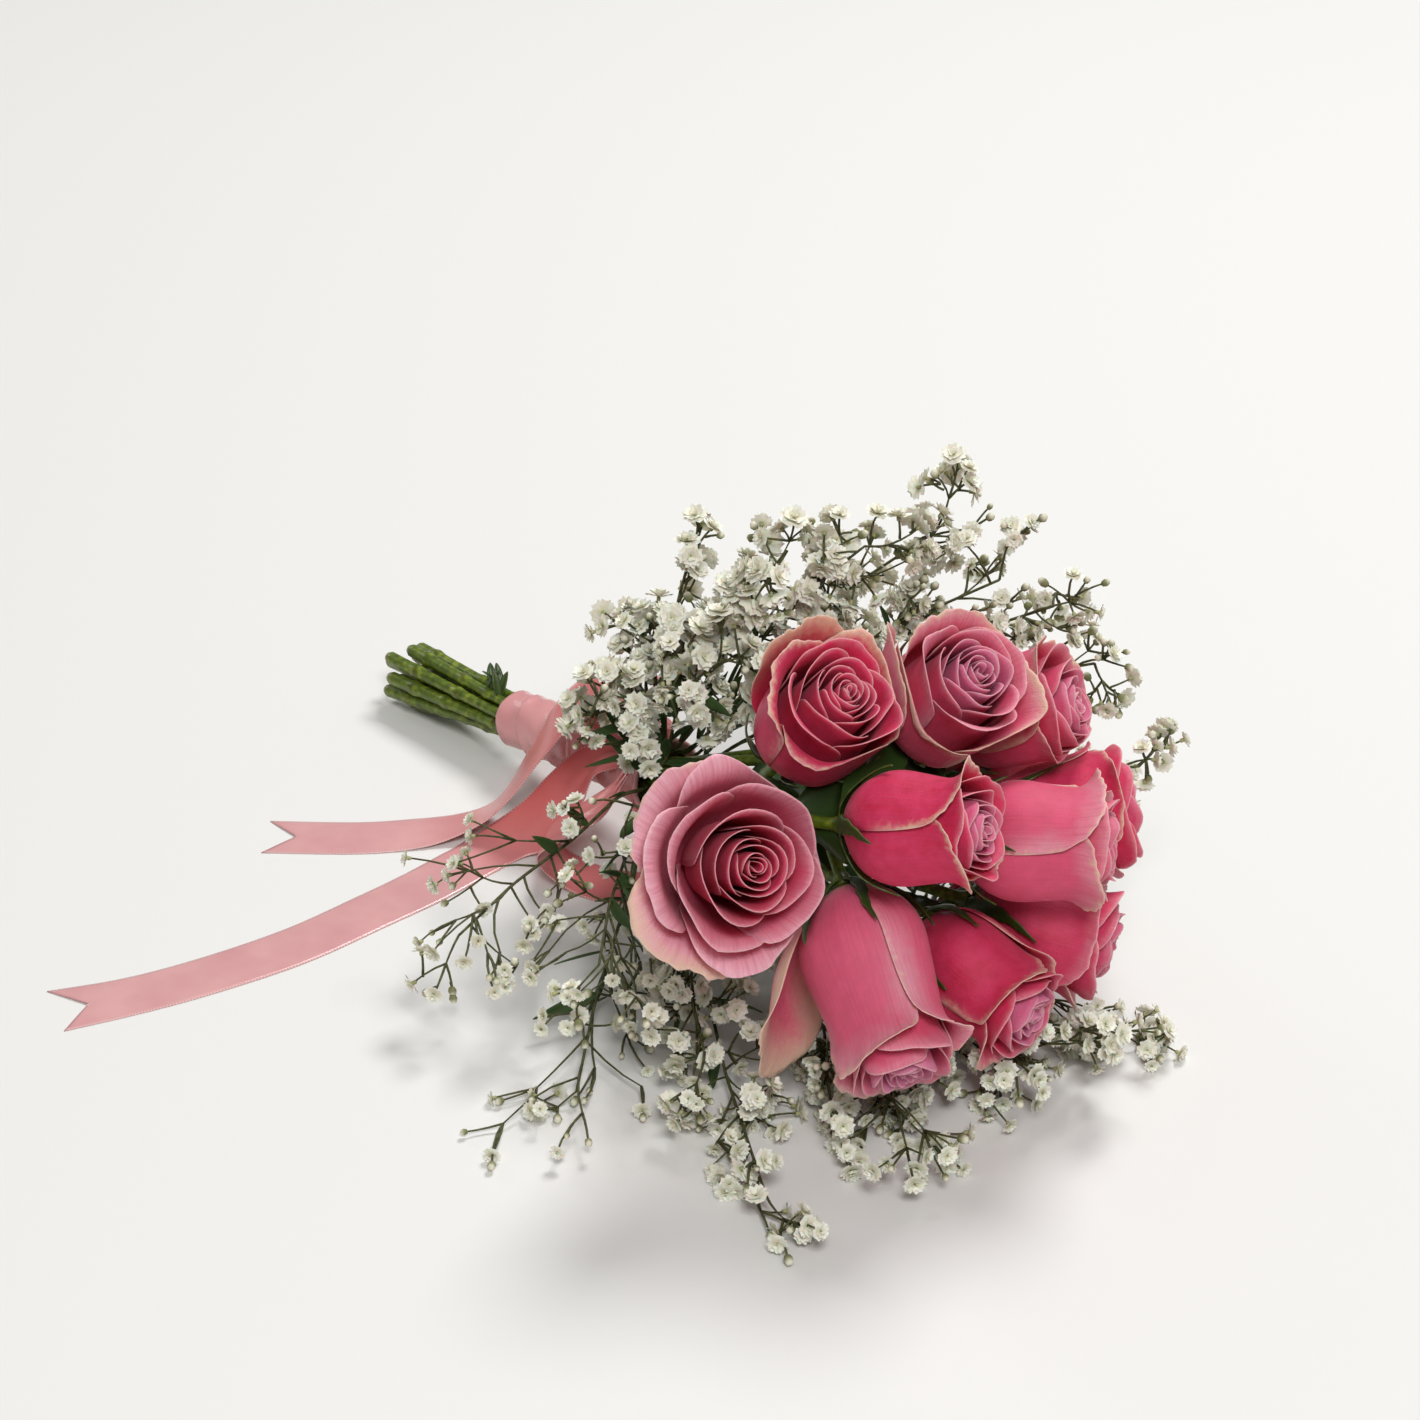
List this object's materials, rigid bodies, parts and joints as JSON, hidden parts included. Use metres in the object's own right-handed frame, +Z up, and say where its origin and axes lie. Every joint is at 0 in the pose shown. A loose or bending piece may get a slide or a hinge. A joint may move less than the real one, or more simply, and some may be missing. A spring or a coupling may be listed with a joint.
{
  "type": "bridal bouquet",
  "caption": "Hand-tied bridal bouquet of pink roses with a collar of baby's breath, stems wrapped in satin ribbon with a bow, lying on its side.",
  "frame": {"origin": "middle of the bouquet's box, on the table that it lies on", "axes": "+X to the viewer's right, +Y away from the viewer, +Z up; the cut ends point to -X and +Y and the flower head to +X and -Y"},
  "size_m": [0.439, 0.4149, 0.1855],
  "materials": {
    "petal": "soft matt rose petal, deep pink with paler rims",
    "stem": "smooth waxy green stem and sepals",
    "gypsophila": "small matt white double florets on thin olive stalks",
    "florist_tape": "matt green florist's tape",
    "satin_ribbon": "dusty pink satin ribbon with a fine stitched edge"
  },
  "bodies": {
    "root": {"rose_bloom_01": "petal", "rose_bloom_02": "petal", "rose_bloom_03": "petal", "rose_bloom_04": "petal", "rose_bloom_05": "petal", "rose_bloom_06": "petal", "rose_bloom_07": "petal", "rose_bloom_08": "petal", "rose_bloom_09": "petal", "rose_bloom_10": "petal", "rose_bloom_11": "petal", "rose_bloom_12": "petal", "rose_stem_01": "stem", "rose_stem_02": "stem", "rose_stem_03": "stem", "rose_stem_04": "stem", "rose_stem_05": "stem", "rose_stem_06": "stem", "rose_stem_07": "stem", "rose_stem_08": "stem", "rose_stem_09": "stem", "rose_stem_10": "stem", "rose_stem_11": "stem", "rose_stem_12": "stem", "gypsophila_spray_01": "gypsophila", "gypsophila_spray_02": "gypsophila", "gypsophila_spray_03": "gypsophila", "gypsophila_spray_04": "gypsophila", "gypsophila_spray_05": "gypsophila", "gypsophila_spray_06": "gypsophila", "gypsophila_spray_07": "gypsophila", "gypsophila_spray_08": "gypsophila", "gypsophila_spray_09": "gypsophila", "gypsophila_spray_10": "gypsophila", "gypsophila_spray_11": "gypsophila", "gypsophila_spray_12": "gypsophila", "gypsophila_spray_13": "gypsophila", "gypsophila_spray_14": "gypsophila", "gypsophila_spray_15": "gypsophila", "gypsophila_spray_16": "gypsophila", "gypsophila_spray_17": "gypsophila", "gypsophila_spray_18": "gypsophila", "gypsophila_spray_19": "gypsophila", "gypsophila_spray_20": "gypsophila", "stem_binding": "florist_tape", "ribbon_wrap": "satin_ribbon", "ribbon_knot": "satin_ribbon", "ribbon_loop_upper": "satin_ribbon", "ribbon_loop_lower": "satin_ribbon", "ribbon_tail_short": "satin_ribbon", "ribbon_tail_long": "satin_ribbon"}
  },
  "joints": []
}
